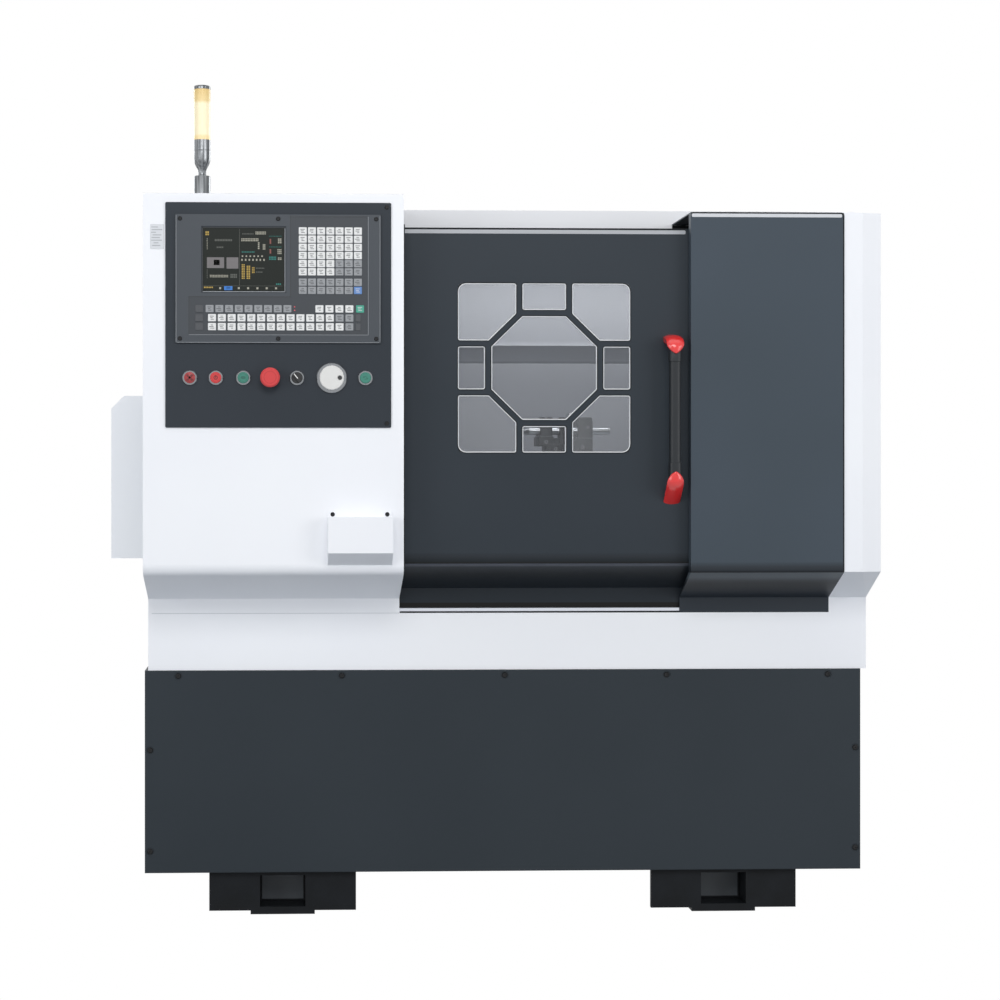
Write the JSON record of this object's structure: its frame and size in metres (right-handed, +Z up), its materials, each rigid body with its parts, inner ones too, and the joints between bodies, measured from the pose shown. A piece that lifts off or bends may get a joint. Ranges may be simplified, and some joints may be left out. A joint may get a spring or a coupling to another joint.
{
  "type": "cnc turning lathe",
  "caption": "Small enclosed turning lathe with a control panel on the left, one sliding door with a cut window, and gang tools on a cross slide.",
  "frame": {"origin": "on the floor under the middle of the machine's outer box", "axes": "+X to the operator's right along the spindle, +Y from the door to the back, +Z up"},
  "size_m": [1.628, 1.135, 1.846],
  "materials": {
    "white_paint": "semi-gloss powder coat",
    "dark_paint": "satin powder coat",
    "graphite_paint": "satin powder coat",
    "panel_paint": "fine textured powder coat",
    "frame_plastic": "matt moulded",
    "key_plastic": "embossed film",
    "screen_glass": "clear, dark behind",
    "foot_iron": "painted rough casting",
    "machine_iron": "painted casting",
    "liner_paint": "satin",
    "ground_steel": "ground",
    "tool_steel": "blackened",
    "aluminium": "anodised",
    "zinc_steel": "zinc plated",
    "black_steel": "black oxide",
    "chrome_trim": "plated",
    "lamp_metal": "satin anodised",
    "lamp_lens": "frosted, lit",
    "polycarbonate": "clear sheet",
    "handle_plastic": "fine grain",
    "red_plastic": "moulded",
    "red_lens": "clear red",
    "green_plastic": "moulded",
    "black_plastic": "moulded",
    "white_plastic": "moulded",
    "belt_rubber": "ribbed",
    "motor_paint": "satin"
  },
  "bodies": {
    "machine": {"left_feet": "foot_iron", "right_feet": "foot_iron", "machine_base": "dark_paint", "base_front_cover": "dark_paint", "coolant_tray": "white_paint", "control_housing": "white_paint", "right_cover": "graphite_paint", "right_side_panel": "white_paint", "left_side_panel": "white_paint", "back_panel": "white_paint", "hood": "white_paint", "belt_guard": "white_paint", "port_cover": "white_paint", "door_top_rail": "aluminium", "door_sill_rail": "aluminium", "bed_casting": "machine_iron", "headstock": "machine_iron", "drive_belt": "belt_rubber", "spindle_motor": "motor_paint", "motor_pedestal": "machine_iron", "linear_rails": "ground_steel", "screw_bearings": "ground_steel", "long_servo": "motor_paint", "chamber_liner": "liner_paint", "control_plate": "panel_paint", "controller_frame": "frame_plastic", "key_film": "key_plastic", "screen_glass": "screen_glass", "cover_screws": "black_steel", "button_bezels": "chrome_trim", "power_lamp": "red_lens", "signal_lamp_fittings": "lamp_metal", "signal_lamp_lens": "lamp_lens"},
    "door": {"door_panel": "graphite_paint", "window_pane": "polycarbonate", "door_handle": "handle_plastic", "handle_caps": "red_plastic", "door_top_plate": "zinc_steel"},
    "spindle": {"spindle": "ground_steel", "spindle_pulley": "aluminium", "chuck_body": "tool_steel"},
    "jaw_1": {"chuck_jaw_1": "tool_steel"},
    "jaw_2": {"chuck_jaw_2": "tool_steel"},
    "jaw_3": {"chuck_jaw_3": "tool_steel"},
    "motor_rotor": {"motor_pulley": "aluminium"},
    "saddle": {"saddle": "ground_steel", "cross_servo": "motor_paint"},
    "long_screw": {"long_ball_screw": "ground_steel"},
    "cross_screw": {"cross_ball_screw": "ground_steel"},
    "cross_slide": {"cross_slide": "ground_steel", "tool_blocks": "tool_steel", "tool_bars": "ground_steel", "coolant_hose": "chrome_trim"},
    "stop_button": {"stop_button": "red_plastic"},
    "start_button": {"start_button": "green_plastic"},
    "cycle_button": {"cycle_button": "green_plastic"},
    "emergency_stem": {"emergency_stop_stem": "black_plastic"},
    "emergency_head": {"emergency_stop_head": "red_plastic"},
    "selector": {"mode_selector": "black_plastic"},
    "handwheel": {"handwheel": "white_plastic"}
  },
  "joints": [
    {"name": "door_slide", "type": "slide", "parent": "machine", "child": "door", "axis": [-1, 0, 0], "range_m": [0, 0.49]},
    {"name": "spindle_spin", "type": "hinge", "parent": "machine", "child": "spindle", "pos_m": [-0.1117, -0.0325, 1.037], "axis": [1, 0, 0], "continuous": true},
    {"name": "motor_spin", "type": "hinge", "parent": "machine", "child": "motor_rotor", "pos_m": [-0.724, 0.2425, 0.852], "axis": [1, 0, 0], "continuous": true},
    {"name": "jaw_1_slide", "type": "slide", "parent": "spindle", "child": "jaw_1", "axis": [0, 0, 1], "range_m": [0, 0.005]},
    {"name": "jaw_2_slide", "type": "slide", "parent": "spindle", "child": "jaw_2", "axis": [0, -0.866, -0.5], "range_m": [0, 0.005]},
    {"name": "jaw_3_slide", "type": "slide", "parent": "spindle", "child": "jaw_3", "axis": [0, 0.866, -0.5], "range_m": [0, 0.005]},
    {"name": "saddle_slide", "type": "slide", "parent": "machine", "child": "saddle", "axis": [1, 0, 0], "range_m": [-0.095, 0.095]},
    {"name": "long_screw_spin", "type": "hinge", "parent": "machine", "child": "long_screw", "pos_m": [0.466, -0.0325, 0.768], "axis": [1, 0, 0], "continuous": true},
    {"name": "cross_slide", "type": "slide", "parent": "saddle", "child": "cross_slide", "axis": [0, 1, 0], "range_m": [-0.06, 0.06]},
    {"name": "cross_screw_spin", "type": "hinge", "parent": "saddle", "child": "cross_screw", "pos_m": [0.19, 0.1875, 0.838], "axis": [0, 1, 0], "continuous": true},
    {"name": "stop_button_press", "type": "slide", "parent": "machine", "child": "stop_button", "axis": [0, 1, 0], "range_m": [0, 0.003], "stiffness_N_per_m": 800},
    {"name": "start_button_press", "type": "slide", "parent": "machine", "child": "start_button", "axis": [0, 1, 0], "range_m": [0, 0.003], "stiffness_N_per_m": 800},
    {"name": "cycle_button_press", "type": "slide", "parent": "machine", "child": "cycle_button", "axis": [0, 1, 0], "range_m": [0, 0.003], "stiffness_N_per_m": 800},
    {"name": "emergency_stop_press", "type": "slide", "parent": "machine", "child": "emergency_stem", "axis": [0, 1, 0], "range_m": [0, 0.004], "stiffness_N_per_m": 1500},
    {"name": "emergency_stop_twist", "type": "hinge", "parent": "emergency_stem", "child": "emergency_head", "pos_m": [-0.464, -0.5255, 1.136], "axis": [0, 1, 0], "range_deg": [0, 45], "stiffness_Nm_per_rad": 0.2},
    {"name": "selector_turn", "type": "hinge", "parent": "machine", "child": "selector", "pos_m": [-0.409, -0.5255, 1.136], "axis": [0, 1, 0], "range_deg": [0, 80]},
    {"name": "handwheel_turn", "type": "hinge", "parent": "machine", "child": "handwheel", "pos_m": [-0.338, -0.5255, 1.136], "axis": [0, 1, 0], "continuous": true}
  ],
  "couplings": [
    {"joint": "motor_spin", "follows": "spindle_spin", "ratio": 1.5946},
    {"joint": "jaw_2_slide", "follows": "jaw_1_slide", "ratio": 1},
    {"joint": "jaw_3_slide", "follows": "jaw_1_slide", "ratio": 1},
    {"joint": "long_screw_spin", "follows": "saddle_slide", "rad_per_m": -628.32},
    {"joint": "cross_screw_spin", "follows": "cross_slide", "rad_per_m": -1256.6}
  ]
}
